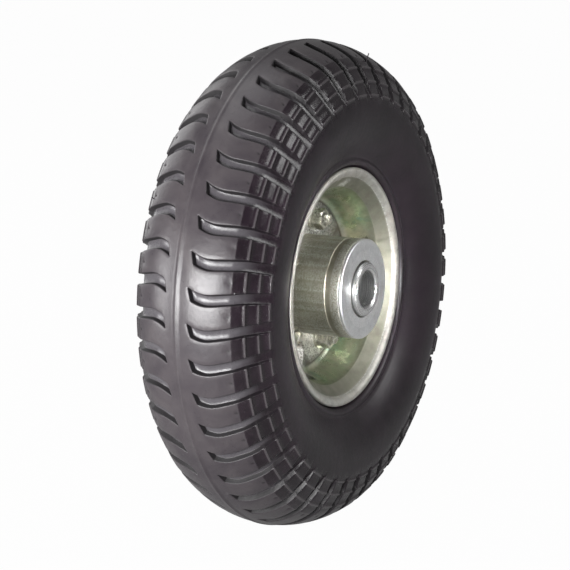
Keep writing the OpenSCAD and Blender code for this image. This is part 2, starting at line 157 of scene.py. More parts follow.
def buildTurning():  # tool marks that run round the axle
    tree, given, out = newGroup("turning", [("Vector", None), ("Scale", 1800.0)], ["Height", "Tone"])
    split = addNode(tree, "ShaderNodeSeparateXYZ")
    tree.links.new(given["Vector"], split.inputs[0])
    squares = calc(tree, "ADD", calc(tree, "POWER", calc(tree, "ABSOLUTE", split.outputs[0]), 2.0),
                   calc(tree, "POWER", calc(tree, "ABSOLUTE", split.outputs[2]), 2.0))
    place = addNode(tree, "ShaderNodeCombineXYZ")
    tree.links.new(calc(tree, "SQRT", squares), place.inputs[0])
    tree.links.new(split.outputs[1], place.inputs[1])
    lines = noise(tree, place.outputs[0], given["Scale"], 4.0, 0.7)
    tree.links.new(lines, out["Height"])
    tree.links.new(remap(tree, lines, 0.3, 0.7), out["Tone"])
    return tree


effects = {
    "mottle": buildMottle(),
    "edgeWear": buildEdgeWear(),
    "dust": buildDust(),
    "grain": buildGrain(),
    "turning": buildTurning(),
}
print("shared effects built")


class Finish:  # one material with its coordinates and its shader at hand
    def __init__(self, name, metallic=0.0, coat=0.0):
        self.material = bpy.data.materials.new(name)
        self.material.use_nodes = True
        self.tree = self.material.node_tree
        self.shader = self.tree.nodes["Principled BSDF"]
        self.shader.inputs["Metallic"].default_value = metallic
        self.shader.inputs["Coat Weight"].default_value = coat
        self.place = addNode(self.tree, "ShaderNodeTexCoord").outputs["Object"]

    def effect(self, name, **values):
        node = addNode(self.tree, "ShaderNodeGroup", node_tree=effects[name])
        self.tree.links.new(self.place, node.inputs["Vector"])
        for label, value in values.items():
            feed(self.tree, node.inputs[label], value)
        return node.outputs

    def set(self, label, value):
        feed(self.tree, self.shader.inputs[label], value)

    def bump(self, heights):  # heights are (socket, depth in mm), the broadest first
        normal = None
        for height, depth in heights:
            node = addNode(self.tree, "ShaderNodeBump")
            node.inputs["Strength"].default_value = 1.0
            node.inputs["Distance"].default_value = depth * mm
            feed(self.tree, node.inputs["Height"], height)
            if normal is not None:
                feed(self.tree, node.inputs["Normal"], normal)
            normal = node.outputs[0]
        feed(self.tree, self.shader.inputs["Normal"], normal)


def fromAxle(look):  # a point's distance from the wheel's axis, in metres
    flat = addNode(look.tree, "ShaderNodeVectorMath", operation="MULTIPLY")
    feed(look.tree, flat.inputs[0], look.place)
    flat.inputs[1].default_value = (1.0, 0.0, 1.0)
    reach = addNode(look.tree, "ShaderNodeVectorMath", operation="LENGTH")
    feed(look.tree, reach.inputs[0], flat.outputs["Vector"])
    return reach.outputs["Value"]


# Finishes

rubberLook = {
    "deep": paint(0.0045, 0.0020, 0.0040),
    "worn": paint(0.0105, 0.0055, 0.0095),
    "dusty": paint(0.044, 0.036, 0.040),
    # scuff: worn rubber on the edges, also used as the painted highlight on the rib crests
    "scuffAndHighlight": paint(0.110, 0.100, 0.105),
    # wall: painted shade, a near-black colour for the groove walls
    "wall": paint(0.0035, 0.0025, 0.0035),
    "face": paint(0.026, 0.0215, 0.0255),
    "faceWorn": paint(0.046, 0.040, 0.043),
    # floor: painted light, a lighter colour that makes the groove floors look lit
    "floor": paint(0.060, 0.056, 0.062),
}


def treadRubber(name, dustAmount, wearAmount):
    look = Finish(name)
    tree = look.tree
    clouds = look.effect("mottle", Scale=46.0, Low=0.38, High=0.68)["Mask"]
    grain = look.effect("grain", Fine=3800.0, Broad=420.0)
    dust = look.effect("dust", Scale=120.0, Amount=dustAmount)["Mask"]
    wear = look.effect("edgeWear", Scale=700.0, Amount=wearAmount)["Mask"]
    # painted shade: this mask darkens the groove walls, where shade falls in the grooves
    wall = addNode(tree, "ShaderNodeAttribute", attribute_name="grooveWallShade").outputs["Fac"]
    colour = blend(tree, clouds, rubberLook["deep"], rubberLook["worn"])
    face = addNode(tree, "ShaderNodeAttribute", attribute_name="treadFace").outputs["Fac"]
    colour = blend(tree, face, colour, blend(tree, clouds, rubberLook["face"], rubberLook["faceWorn"]))
    # painted light: the groove floors are lightened as if light reached them
    base = addNode(tree, "ShaderNodeAttribute", attribute_name="grooveFloor").outputs["Fac"]
    colour = blend(tree, base, colour, rubberLook["floor"])
    colour = blend(tree, dust, colour, rubberLook["dusty"])
    # painted highlight: the rib crests are lightened with the scuff colour, on top of the real edge wear
    crest = addNode(tree, "ShaderNodeAttribute", attribute_name="ribCrestHighlight").outputs["Fac"]
    wear = calc(tree, "MAXIMUM", wear, calc(tree, "MULTIPLY", crest, 0.40))
    colour = blend(tree, wear, colour, rubberLook["scuffAndHighlight"])
    look.set("Base Color", blend(tree, wall, colour, rubberLook["wall"]))
    rough = remap(tree, grain["Tone"], 0.35, 0.65, 0.19, 0.28)
    rough = calc(tree, "ADD", rough, calc(tree, "MULTIPLY", face, 0.07))
    rough = calc(tree, "ADD", rough, calc(tree, "MULTIPLY", dust, 0.20))
    rough = calc(tree, "SUBTRACT", rough, calc(tree, "MULTIPLY", base, 0.08))
    side = remap(tree, fromAxle(look), 0.0960, 0.1000, 0.13, 0.0)
    rough = calc(tree, "ADD", rough, side)
    look.set("Roughness", calc(tree, "ADD", rough, calc(tree, "MULTIPLY", wall, 0.35)))
    look.shader.inputs["Specular IOR Level"].default_value = 0.41
    look.bump([(grain["Height"], 0.10), (clouds, 0.05)])
    return look.material


def tubeRubber():
    look = Finish("tubeRubber")
    clouds = look.effect("mottle", Scale=70.0)["Mask"]
    grain = look.effect("grain", Fine=3000.0)
    talc = look.effect("dust", Scale=60.0, Amount=0.7)["Mask"]
    colour = blend(look.tree, clouds, paint(0.016, 0.016, 0.018), paint(0.035, 0.035, 0.036))
    look.set("Base Color", blend(look.tree, talc, colour, paint(0.30, 0.29, 0.27)))
    look.set("Roughness", remap(look.tree, grain["Tone"], 0.3, 0.7, 0.5, 0.8))
    look.bump([(grain["Height"], 0.08)])
    return look.material


zincLook = {
    "grey": (0.450, 0.455, 0.425),
    "warm": (0.520, 0.495, 0.455),
    "green": (0.370, 0.440, 0.310),
    "teal": (0.250, 0.395, 0.345),
    "olive": (0.520, 0.520, 0.420),
    "straw": (0.610, 0.590, 0.470),
    # seat colours: painted shade, the seat band is darkened to tone down its lit highlight
    "seat": (0.185, 0.190, 0.150),
    "seatWorn": (0.255, 0.250, 0.205),
    "dull": (0.100, 0.106, 0.100),
    "brown": (0.125, 0.108, 0.080),
    # stain: real stains, also the painted shade laid on the rear half of the rim
    "stainAndShade": paint(0.140, 0.125, 0.095),
    # rearHalfShade: how strongly the rear half is darkened, painted shade
    "rearHalfShade": 0.80,
    "bright": paint(0.80, 0.80, 0.76),
}


def zincSheet():
    look = Finish("zincSheet", metallic=1.0)
    tree = look.tree
    tint = noise(tree, look.place, 34.0, 5.0, 0.62, 1.2)
    colour = ramp(tree, tint, [(0.30, zincLook["teal"]), (0.44, zincLook["green"]),
                               (0.58, zincLook["olive"]), (0.70, zincLook["straw"])])
    reach = fromAxle(look)
    disc = remap(tree, reach, 0.0450, 0.0462, 1.0, 0.0)
    colour = blend(tree, disc, colour, ramp(tree, tint, [(0.35, zincLook["dull"]), (0.65, zincLook["brown"])]))
    # painted shade: the band from the well wall to the flange gets the dark seat colours
    seat = remap(tree, reach, 0.0515, 0.0535, 0.0, 1.0)
    colour = blend(tree, seat, colour, ramp(tree, tint, [(0.35, zincLook["seat"]), (0.65, zincLook["seatWorn"])]))
    rolled = remap(tree, reach, 0.0578, 0.0592, 0.0, 1.0)
    colour = blend(tree, rolled, colour, ramp(tree, tint, [(0.35, zincLook["grey"]), (0.65, zincLook["warm"])]))
    split = addNode(tree, "ShaderNodeSeparateXYZ")
    feed(tree, split.inputs[0], look.place)
    # painted shade: the rear half of the rim (object y above 1 mm, away from the camera) is darkened with the stain
    # colour
    inner = calc(tree, "MULTIPLY", remap(tree, split.outputs[1], 0.001, 0.004), zincLook["rearHalfShade"])
    stains = look.effect("dust", Scale=150.0, Amount=0.75)["Mask"]
    wear = look.effect("edgeWear", Scale=900.0, Amount=0.9)["Mask"]
    grain = look.effect("grain", Fine=2400.0, Broad=140.0)
    colour = blend(tree, inner, colour, zincLook["stainAndShade"])
    colour = blend(tree, stains, colour, zincLook["stainAndShade"])
    look.set("Base Color", blend(tree, wear, colour, zincLook["bright"]))
    rough = remap(tree, grain["Tone"], 0.3, 0.7, 0.20, 0.36)
    rough = calc(tree, "ADD", rough, calc(tree, "MULTIPLY", disc, 0.22))
    rough = calc(tree, "ADD", rough, calc(tree, "MULTIPLY", seat, 0.24))
    rough = calc(tree, "ADD", rough, calc(tree, "MULTIPLY", inner, 0.20))
    look.set("Roughness", calc(tree, "ADD", rough, calc(tree, "MULTIPLY", stains, 0.3)))
    look.bump([(grain["Height"], 0.05)])
    return look.material


def zincHub():
    look = Finish("zincHub", metallic=1.0)
    tree = look.tree
    tint = noise(tree, look.place, 60.0, 5.0, 0.6, 0.8)
    lines = look.effect("turning", Scale=1500.0)
    stains = look.effect("dust", Scale=220.0, Amount=0.7)["Mask"]
    wear = look.effect("edgeWear", Scale=1100.0, Amount=0.9)["Mask"]
    colour = ramp(tree, tint, [(0.32, (0.175, 0.166, 0.122)), (0.5, (0.24, 0.232, 0.184)), (0.68, (0.31, 0.302, 0.252))])
    colour = blend(tree, calc(tree, "MULTIPLY", lines["Tone"], 0.25), colour, paint(0.60, 0.58, 0.51))
    colour = blend(tree, stains, colour, paint(0.130, 0.105, 0.070))
    look.set("Base Color", blend(tree, wear, colour, zincLook["bright"]))
    look.set("Roughness", remap(tree, lines["Tone"], 0.0, 1.0, 0.40, 0.56))
    look.bump([(lines["Height"], 0.03)])
    return look.material


def turnedSteel(name, dark, light, rough, lineScale, dustAmount):
    look = Finish(name, metallic=1.0)
    tree = look.tree
    clouds = look.effect("mottle", Scale=130.0, Low=0.35, High=0.7)["Mask"]
    lines = look.effect("turning", Scale=lineScale)
    dust = look.effect("dust", Scale=260.0, Amount=dustAmount)["Mask"]
    wear = look.effect("edgeWear", Scale=1200.0, Amount=0.7)["Mask"]
    colour = blend(tree, clouds, dark, light)
    colour = blend(tree, dust, colour, paint(0.10, 0.085, 0.07))
    look.set("Base Color", blend(tree, wear, colour, paint(0.80, 0.80, 0.80)))
    look.set("Roughness", remap(tree, lines["Tone"], 0.0, 1.0, rough[0], rough[1]))
    look.bump([(lines["Height"], 0.02)])
    return look.material


def weldSteel():
    look = Finish("weldSteel", metallic=1.0)
    tree = look.tree
    clouds = look.effect("mottle", Scale=300.0, Low=0.35, High=0.65)["Mask"]
    grain = look.effect("grain", Fine=2200.0, Broad=500.0)
    wear = look.effect("edgeWear", Scale=800.0, Amount=0.8)["Mask"]
    colour = blend(tree, clouds, paint(0.10, 0.095, 0.085), paint(0.23, 0.22, 0.19))
    look.set("Base Color", blend(tree, wear, colour, paint(0.5, 0.5, 0.48)))
    look.set("Roughness", remap(tree, grain["Tone"], 0.3, 0.7, 0.32, 0.55))
    look.bump([(grain["Height"], 0.10)])
    return look.material


def boltZinc():
    look = Finish("boltZinc", metallic=1.0)
    tree = look.tree
    tint = noise(tree, look.place, 190.0, 4.0, 0.6, 0.5)
    colour = ramp(tree, tint, [(0.32, (0.42, 0.40, 0.30)), (0.5, (0.56, 0.54, 0.45)), (0.7, (0.66, 0.65, 0.58))])
    grime = look.effect("dust", Scale=500.0, Amount=0.7)["Mask"]
    wear = look.effect("edgeWear", Scale=1500.0, Amount=1.0)["Mask"]
    grain = look.effect("grain", Fine=4200.0, Broad=700.0)
    colour = blend(tree, grime, colour, paint(0.055, 0.045, 0.032))
    look.set("Base Color", blend(tree, wear, colour, paint(0.78, 0.77, 0.70)))
    look.set("Roughness", remap(tree, grain["Tone"], 0.3, 0.7, 0.20, 0.38))
    look.bump([(grain["Height"], 0.03)])
    return look.material


def valveBrass():
    look = Finish("valveBrass", metallic=1.0)
    tree = look.tree
    clouds = look.effect("mottle", Scale=240.0, Low=0.35, High=0.7)["Mask"]
    wear = look.effect("edgeWear", Scale=1400.0, Amount=0.8)["Mask"]
    grain = look.effect("grain", Fine=3600.0, Broad=600.0)
    colour = blend(tree, clouds, paint(0.42, 0.27, 0.10), paint(0.62, 0.44, 0.18))
    look.set("Base Color", blend(tree, wear, colour, paint(0.86, 0.70, 0.36)))
    look.set("Roughness", remap(tree, grain["Tone"], 0.3, 0.7, 0.22, 0.42))
    look.bump([(grain["Height"], 0.03)])
    return look.material


def capPlastic():
    look = Finish("capPlastic")
    tree = look.tree
    clouds = look.effect("mottle", Scale=260.0)["Mask"]
    wear = look.effect("edgeWear", Scale=1600.0, Amount=0.5)["Mask"]
    grain = look.effect("grain", Fine=5000.0, Broad=900.0)
    colour = blend(tree, clouds, paint(0.014, 0.014, 0.015), paint(0.030, 0.030, 0.031))
    look.set("Base Color", blend(tree, wear, colour, paint(0.12, 0.12, 0.12)))
    look.set("Roughness", remap(tree, grain["Tone"], 0.3, 0.7, 0.34, 0.52))
    look.bump([(grain["Height"], 0.03)])
    return look.material


finishes = {
    "tyre": treadRubber("treadRubber", 0.26, 0.35),
    "tube": tubeRubber(),
    "rim": zincSheet(),
    "hub": zincHub(),
    "bearing": turnedSteel("bearingSteel", paint(0.56, 0.57, 0.57), paint(0.68, 0.70, 0.70), (0.34, 0.48), 2600.0, 0.3),
    "ring": turnedSteel("ringSteel", paint(0.60, 0.60, 0.60), paint(0.74, 0.74, 0.73), (0.20, 0.32), 3000.0, 0.12),
    "ball": turnedSteel("ballSteel", paint(0.62, 0.62, 0.63), paint(0.72, 0.72, 0.73), (0.06, 0.12), 1600.0, 0.05),
    "cage": turnedSteel("cageSteel", paint(0.36, 0.30, 0.20), paint(0.48, 0.40, 0.27), (0.30, 0.45), 1900.0, 0.3),
    "weld": weldSteel(),
    "bolt": boltZinc(),
    "brass": valveBrass(),
    "cap": capPlastic(),
}
print("finishes built:", len(finishes))

nodeFinish = {
    "tyre": "tyre", "inner_tube": "tube", "valve_base": "tube", "valve_stem": "brass", "valve_core": "brass",
    "valve_cap": "cap", "rim_": "rim", "hub_tube": "hub", "hub_weld": "weld", "outer_ring": "bearing",
    "inner_ring": "ring", "cage": "cage", "balls": "ball", "outer_shield": "bearing", "inner_shield": "bearing",
    "bearing_spacer": "bearing", "bolt": "bolt", "flat_washer": "bolt", "spring_washer": "bolt", "nut": "bolt",
}
for nodeName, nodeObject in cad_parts.items():
    start = max((key for key in nodeFinish if nodeName.startswith(key)), key=len)
    nodeObject.data.materials.clear()
    nodeObject.data.materials.append(finishes[nodeFinish[start]])


# Mesh helpers

def finishPiece(bm, name, finish, merge=0.002 * mm, smoothAngle=None):
    bmesh.ops.remove_doubles(bm, verts=bm.verts, dist=merge)
    bmesh.ops.recalc_face_normals(bm, faces=bm.faces)
    mesh = bpy.data.meshes.new(name)
    bm.to_mesh(mesh)
    bm.free()
    for face in mesh.polygons:
        face.use_smooth = True
    if smoothAngle is not None:
        mesh.set_sharp_from_angle(angle=math.radians(smoothAngle))
    mesh.materials.append(finishes[finish])
    piece = bpy.data.objects.new(name, mesh)
    bpy.context.collection.objects.link(piece)
    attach(piece, "wheel")
    return piece


def chain(bm, points, closed=False):  # an edge chain through points in metres
    verts = [bm.verts.new(point) for point in points]
    edges = [bm.edges.new(pair) for pair in zip(verts, verts[1:])]
    if closed:
        edges.append(bm.edges.new((verts[-1], verts[0])))
    return verts, edges


def turnSection(bm, outline, steps, startAngle=0.0):  # spins a closed [radius, y] outline round the axle
    points = [(r * mm * math.sin(startAngle), y * mm, r * mm * math.cos(startAngle)) for r, y in outline]
    verts, edges = chain(bm, points, closed=True)
    bmesh.ops.spin(bm, geom=verts + edges, cent=(0, 0, 0), axis=(0, 1, 0), dvec=(0, 0, 0),
                   angle=twoPi, steps=steps, use_merge=True, use_duplicate=False)


# Tyre: a section spun round the axle, whose columns are then led along the groove sides

tyre = {
    "crownRadius": 129.6,
    "topRadius": 129.95,
    "lipRadius": 63.0,
    "widest": 94.0,
    "halfSection": 37.0,
    "beadTop": 69.0,
    "bulge": 9.4,
    "shoulder": 26.2,
    "shoulderDrop": 9.0,
    "underShoulder": 2.6,
    "footRadius": 111.22,
    "runOut": 99.83,
    "ribs": (116.0, 109.0, 102.0),
    "ribWidth": 1.3,
    "ribHeight": 0.6,
    "pitches": 46,
    "firstGroove": -21.4,
    "halfWidth": 2.7,
    "depth": 2.7,
    "hookReach": 3.4,
    "hookStart": 6.0,
    "hookLength": 10.0,
    "slant": 1.6,
    "lean": 1.2,
    "bandEdge": 5.4,
    "dimpleDepth": 0.8,
    "dimpleRow": 24.4,
    "flat": 5,
    "columns": [(0.0, 1.0, 0.0), (2.15, 1.0, 0.15), (2.48, 0.90, 1.0), (2.68, 0.14, 1.0), (2.90, 0.03, 0.45),
                (3.30, 0.0, 0.0), (5.2, 0.0, 0.0), (7.85, 0.0, 0.0), (8.87, 0.0, 0.0)],
    "heelRows": [(2.4, 0.0, 0.2), (4.2, 0.0, 0.7), (5.4, 0.0, 1.0), (5.85, 0.03, 1.0), (6.02, 0.14, 1.0),
                 (6.26, 0.90, 1.0), (6.6, 1.0, 0.95), (8.4, 1.0, 0.8), (10.2, 1.0, 0.6), (12.2, 1.0, 0.35),
                 (14.4, 1.0, 0.12), (17.0, 1.0, 0.0), (19.4, 1.0, 0.0), (21.4, 1.0, 0.0), (23.4, 1.0, 0.0),
                 (24.4, 1.0, 0.0), (25.3, 1.0, 0.0)],
}
tyre["crownCurve"] = (tyre["shoulder"] ** 2 + tyre["shoulderDrop"] ** 2) / (2 * tyre["shoulderDrop"])
tyre["wallCurve"] = ((tyre["widest"] - tyre["beadTop"]) ** 2 + tyre["bulge"] ** 2) / (2 * tyre["bulge"])
tyre["wallCentre"] = tyre["halfSection"] - tyre["wallCurve"]


def wallPoint(radius):
    reach = tyre["wallCurve"] ** 2 - (radius - tyre["widest"]) ** 2
    return (radius, tyre["wallCentre"] + math.sqrt(reach))


def crownRadius(v):
    return tyre["crownRadius"] - tyre["crownCurve"] + math.sqrt(tyre["crownCurve"] ** 2 - v * v)


def alongPath(path, share):  # the point at a share of a path's length
    lengths = [math.dist(a, b) for a, b in zip(path, path[1:])]
    left = share * sum(lengths)
    for (a, b), length in zip(zip(path, path[1:]), lengths):
        if left <= length:
            t = left / length
            return (a[0] + (b[0] - a[0]) * t, a[1] + (b[1] - a[1]) * t)
        left -= length
    return path[-1]


def grooveFloor():
    depth = tyre["depth"]
    edge = tyre["crownRadius"] - tyre["shoulderDrop"]
    half = tyre["shoulder"] / 2
    late = tyre["shoulder"] - 2
    foot = wallPoint(tyre["footRadius"])
    return [
        (tyre["crownRadius"] - depth, 0.0),
        (crownRadius(half) - depth, half),
        (crownRadius(late) - depth - 0.5, late),
        (edge - tyre["underShoulder"] - depth, tyre["shoulder"] + 1.2),
        (foot[0] - 1.5, foot[1] - 0.7 * depth),
        wallPoint(tyre["runOut"]),
    ]


def floorRadius(v):
    path = grooveFloor()
    for a, b in zip(path, path[1:]):
        if v <= b[1]:
            return a[0] + (b[0] - a[0]) * (v - a[1]) / (b[1] - a[1])
    return path[-1][0]


def grooveShift(v):
    hookEnd = tyre["hookStart"] + tyre["hookLength"]
    if v < hookEnd:
        return tyre["hookReach"] * ((hookEnd - v) / tyre["hookLength"]) ** 2
    return tyre["lean"] * (v - hookEnd) / (tyre["shoulder"] - hookEnd)


def sidePoint(radius):  # straight from the shoulder to its foot, then round
    edge = tyre["crownRadius"] - tyre["shoulderDrop"]
    top = (edge - tyre["underShoulder"], tyre["shoulder"] + tyre["underShoulder"])
    foot = wallPoint(tyre["footRadius"])
    if radius > foot[0]:
        return (radius, foot[1] + (top[1] - foot[1]) * (radius - foot[0]) / (top[0] - foot[0]))
    return wallPoint(radius)


def sidePoints():  # (radius, y, rib crest share) from the shoulder edge over three ribs to the run-out
    edge = tyre["crownRadius"] - tyre["shoulderDrop"]
    over = tyre["shoulder"]
    top = sidePoint(edge - tyre["underShoulder"])
    points = [(edge + 0.30, over - 0.28), (edge - 0.20, over + 0.26), (top[0] + 1.2, top[1] - 1.15),
              (top[0] + 0.25, top[1] - 0.2), (top[0] - 0.3, top[1] + 0.08)]
    half = tyre["ribWidth"] / 2
    for radius in tyre["ribs"]:
        for shift, height in ((half, 0.0), (half - 0.3, 1.0), (0.3 - half, 1.0), (-half, 0.0)):
            base = sidePoint(radius + shift)
            rise = height * tyre["ribHeight"]
            points.append((base[0] + 0.35 * rise, base[1] + 0.94 * rise, height))
        if radius == tyre["ribs"][0]:
            points.extend(sidePoint(tyre["footRadius"] + step) for step in (1.4, 0.0))
        else:
            points.append(sidePoint(radius - 2.2))
    return [(point + (0.0,))[:3] for point in points if point[0] > tyre["runOut"] + 0.4]


def makeRows():  # (kind, radius, y, floor point or None, heel depth, slant share, dimple or rib crest)
    rows = []
    for radius, v in ((tyre["topRadius"], 0.4), (tyre["crownRadius"], 0.7)):
        rows.append(("band", radius, v, None, 0.0, 0.0, 0.0))
    for v, heel, slant in tyre["heelRows"]:
        dimple = tyre["dimpleDepth"] if v == tyre["dimpleRow"] else 0.0
        rows.append(("crown", 0.0, v, None, heel, slant, dimple))
    points = sidePoints()
    path = [point[:2] for point in points] + [wallPoint(tyre["runOut"])]
    total = sum(math.dist(a, b) for a, b in zip(path, path[1:]))
    start = tyre["shoulder"] - 0.7
    floorPath = [(floorRadius(start), start)] + grooveFloor()[3:]
    done = 0.0
    for place, point in enumerate(points):
        if place:
            done += math.dist(points[place - 1][:2], point[:2])
        rows.append(("point", point[0], point[1], alongPath(floorPath, done / total), 1.0, 0.0, point[2]))
    wall = [wallPoint(radius) for radius in (99.8, 97.0, 93.5, 89.5, 85.5, 81.5, 77.5, 74.0, 71.0, 69.0)]
    side = wall[-1][1]
    bead = [(68.35, side + 0.10), (67.8, side + 0.50), (67.0, side + 0.66), (66.2, side + 0.52), (65.7, side + 0.22),
            (64.9, 27.0), (64.6, 26.3), (64.3, 25.1), (60.3, 23.45), (54.9, 17.85), (52.76, 11.5)]
    inside = [(55.15, 11.5), (67.1, 17.8), (82.0, 32.4), (100.0, 32.4), (114.6, 14.4), (119.6, 5.0)]
    for radius, y in wall + bead + inside:
        rows.append(("plain", radius, y, None, 0.0, 0.0, 0.0))
    return rows


def columnPlace(step, radius):  # offset from the groove's middle, depth share and wall share of a column
    side = -1 if step < 0 else 1
    offset, depth, wall = tyre["columns"][abs(step)]
    flat = tyre["columns"][tyre["flat"]][0]
    last = tyre["columns"][-1][0]
    halfPitch = math.pi * radius / tyre["pitches"]
    if offset > flat:
        offset = flat + (offset - flat) / (last - flat) * (halfPitch - flat)
    return side * offset, depth, wall, halfPitch


def tyrePlace(row, column, side):  # angle, radius, distance from the middle plane and wall share
    kind, radius, y, floorPoint, heel, slant, dimple = row
    perPitch = 2 * (len(tyre["columns"]) - 1)
    own = column if side < 0 else column + perPitch // 2
    step = (own + perPitch // 2 - 1) % perPitch - perPitch // 2 + 1
    centre = math.radians(tyre["firstGroove"]) + (column - step) / perPitch * twoPi / tyre["pitches"]
    reach = radius if kind != "crown" else crownRadius(min(y, tyre["shoulder"]))
    offset, depth, wall, halfPitch = columnPlace(step, reach)
    heelSide = offset if side < 0 else -offset
    late = min(1.0, max(0.0, 0.5 - heelSide / (2 * tyre["halfWidth"])))
    flat = tyre["columns"][tyre["flat"]][0]
    if abs(offset) > flat:
        late = 0.5 - 0.5 * math.copysign(1.0, heelSide) * (halfPitch - abs(offset)) / (halfPitch - flat)
    v = y
    if kind == "crown":
        v = y + tyre["slant"] * slant * late
        radius = crownRadius(v)
    shift = grooveShift(min(max(v, tyre["bandEdge"]), 30.0))
    angle = centre + (offset + (shift if side < 0 else -shift)) / reach
    share = depth * heel
    if kind == "crown":
        radius -= share * (radius - floorRadius(v))
        if dimple and abs(step) == perPitch // 2:
            radius -= dimple
    elif floorPoint is not None:
        radius += (floorPoint[0] - radius) * share
        v += (floorPoint[1] - v) * share
    # edge: the share of painted shade on the groove walls and dimples
    edge = max(wall * (1.0 if heel > 0.5 else heel), depth * (1.0 if 0.1 < heel < 0.95 else 0.0))
    if dimple and abs(step) == perPitch // 2:
        edge = 1.0
    if kind == "plain" or kind == "band":
        edge = 0.0
    elif kind == "point":
        edge = wall * max(0.0, (radius - tyre["runOut"]) / (tyre["crownRadius"] - tyre["runOut"])) ** 0.5
    return angle, radius, v, edge, share * (1.0 - wall)


def makeTyre():
    rows = makeRows()
    perPitch = 2 * (len(tyre["columns"]) - 1)
    steps = tyre["pitches"] * perPitch
    start = math.radians(tyre["firstGroove"])
    bm = bmesh.new()
    rowLayer = bm.verts.layers.int.new("row")
    # this layer marks the groove walls, where shade is painted into the colour
    wallShadeLayer = bm.verts.layers.float.new("grooveWallShade")
    faceLayer = bm.verts.layers.float.new("treadFace")
    # this layer marks the groove floors, where light is painted into the colour
    grooveFloorLightLayer = bm.verts.layers.float.new("grooveFloor")
    # this layer marks the rib crests, where a highlight is painted
    ribHighlightLayer = bm.verts.layers.float.new("ribCrestHighlight")
    signed = [(-1, place) for place in reversed(range(len(rows)))] + [(1, place) for place in range(len(rows))]
    points = []
    for side, place in signed:
        r = rows[place][1] or crownRadius(rows[place][2])
        points.append((r * mm * math.sin(start), side * rows[place][2] * mm, r * mm * math.cos(start)))
    verts, edges = chain(bm, points, closed=True)
    for vert, (side, place) in zip(verts, signed):
        vert[rowLayer] = side * (place + 1)
    bmesh.ops.spin(bm, geom=verts + edges, cent=(0, 0, 0), axis=(0, 1, 0), dvec=(0, 0, 0),
                   angle=twoPi, steps=steps, use_merge=True, use_duplicate=False)
    band = tyre["bandEdge"]
    for vert in bm.verts:
        mark = vert[rowLayer]
        side = -1 if mark < 0 else 1
        row = rows[abs(mark) - 1]
        turn = (math.atan2(vert.co.x, vert.co.z) - start) / twoPi * steps
        column = round(turn) % steps
        angle, radius, v, edge, sunk = tyrePlace(row, column, side)
        if v < band:  # the plain band joins the two rows' columns
            other = tyrePlace(row, column, -side)[0]
            gap = (other - angle + math.pi) % twoPi - math.pi
            share = 0.5 - 0.5 * v / band
            angle += gap * share
        vert[wallShadeLayer] = edge
        vert[faceLayer] = 1.0 if row[0] in ("crown", "band") else 0.0
        fade = 1.0 if row[0] == "crown" else max(0.0, row[1] / 10.6 - 10.38)
        vert[grooveFloorLightLayer] = sunk * min(1.0, fade)
        vert[ribHighlightLayer] = row[6] * (1.0 - sunk - edge) if row[0] == "point" else 0.0
        vert.co = (radius * mm * math.sin(angle), side * v * mm, radius * mm * math.cos(angle))
    return finishPiece(bm, "tyre_moulding", "tyre")


tyrePiece = makeTyre()
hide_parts("tyre")
print("tyre:", len(tyrePiece.data.polygons), "faces")


# Vent whiskers that the mould leaves on the rubber

whiskers = {
    "perSide": 5,
    "seed": 7,
    "root": (119.9, 26.9),
    "lean": 0.25,
    "radius": 0.42,
    "lengths": (0.5, 1.3),
    "marked": (10.0, 4.2),
}


def makeWhiskers():
    draw = random.Random(whiskers["seed"])
    bm = bmesh.new()
    for side in (-1, 1):
        for number in range(whiskers["perSide"]):
            degrees, length = whiskers["marked"]
            if number or side > 0:
                degrees = 6.0 + (number + draw.uniform(-0.25, 0.25)) * 360 / whiskers["perSide"]
                length = draw.uniform(*whiskers["lengths"])
            made = bmesh.ops.create_cone(bm, cap_ends=True, segments=7, radius1=whiskers["radius"] * mm,
                                         radius2=whiskers["radius"] * 0.6 * mm, depth=(length + 1) * mm)["verts"]
            bmesh.ops.translate(bm, verts=made, vec=(0, 0, (length - 1) / 2 * mm))
            tilt = Matrix.Rotation(-side * whiskers["lean"], 4, "X")
            lift = Matrix.Translation((0, side * whiskers["root"][1] * mm, whiskers["root"][0] * mm))
            turn = Matrix.Rotation(math.radians(degrees), 4, "Y")
            bmesh.ops.transform(bm, matrix=turn @ lift @ tilt, verts=made)
    return finishPiece(bm, "tyre_whiskers", "tyre", smoothAngle=50)


whiskerPiece = makeWhiskers()
print("whiskers placed")


# Rolled lips on both rim halves: a rounded edge laid on the pressed flange

lip = {
    "outline": [(58.2, 24.15), (58.75, 25.25), (59.3, 25.95), (60.0, 26.62), (60.8, 27.06), (61.6, 27.24),
                (62.3, 27.12), (62.75, 26.75), (62.8, 26.3), (61.2, 25.75), (59.6, 24.95)],
    "steps": 240,
}


def makeLips():
    bm = bmesh.new()
    for side in (-1, 1):
        turnSection(bm, [(r, side * y) for r, y in lip["outline"]], lip["steps"])
    return finishPiece(bm, "rim_lips", "rim", smoothAngle=60)


lipPiece = makeLips()
print("lips rolled")


# Bolts, nuts and their threads

bolts = {
    "count": 5,
    "first": 12.0,
    "circle": 35.0,
    "flats": 10.0,
    "headHeight": 4.0,
    "nutHeight": 5.0,
    "nutStart": 4.8,
    "sheet": 2.0,
    "end": 13.2,
    "core": 2.5,
    "crest": 2.97,
    "pitch": 1.0,
    "bore": 3.02,
    "roundSteps": 48,
}


def boltFrame(number):
    angle = math.radians(bolts["first"] + number * 360 / bolts["count"])
    return Matrix.Rotation(angle, 4, "Y") @ Matrix.Translation((0, 0, bolts["circle"] * mm))


def hexRadius(angle):
    step = math.pi / 3
    near = (angle % step) - step / 2
    return bolts["flats"] / 2 / math.cos(near)


